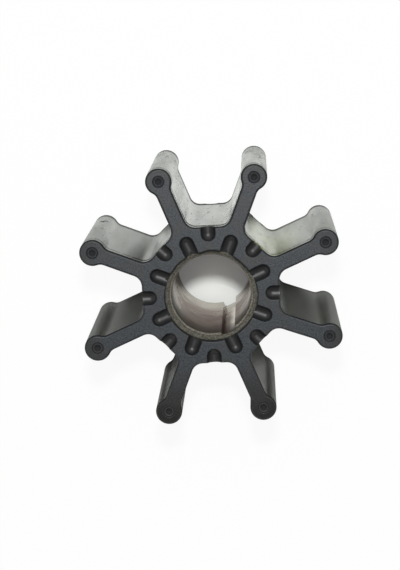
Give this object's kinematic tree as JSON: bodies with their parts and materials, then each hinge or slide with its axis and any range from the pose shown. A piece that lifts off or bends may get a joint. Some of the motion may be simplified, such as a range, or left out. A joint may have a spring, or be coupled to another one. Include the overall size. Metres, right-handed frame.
{
  "type": "flexible pump impeller",
  "caption": "Flexible rubber impeller for a raw-water pump: straight round-tipped blades on a hub moulded round a keyed metal bush, with round-nosed recesses in both faces.",
  "frame": {"origin": "centre of the bore, in the plane of the lower end face that the impeller lies on", "axes": "+Z along the bore's axis towards the upper end face; +X through the middle of a gap between two blades; the keyway is in line with the blade at minus 67.5 degrees from +X"},
  "size_m": [0.0622, 0.0622, 0.0508],
  "materials": {
    "rubber": "matt moulded rubber, dark slate grey, with a pale worn bloom on the blade sides",
    "bush_metal": "worn, dull grey-brown bronze with olive tarnish at the mouth and fine turning lines in the bore"
  },
  "bodies": {
    "root": {"rubber_body": "rubber", "hub_bush": "bush_metal"}
  },
  "joints": []
}
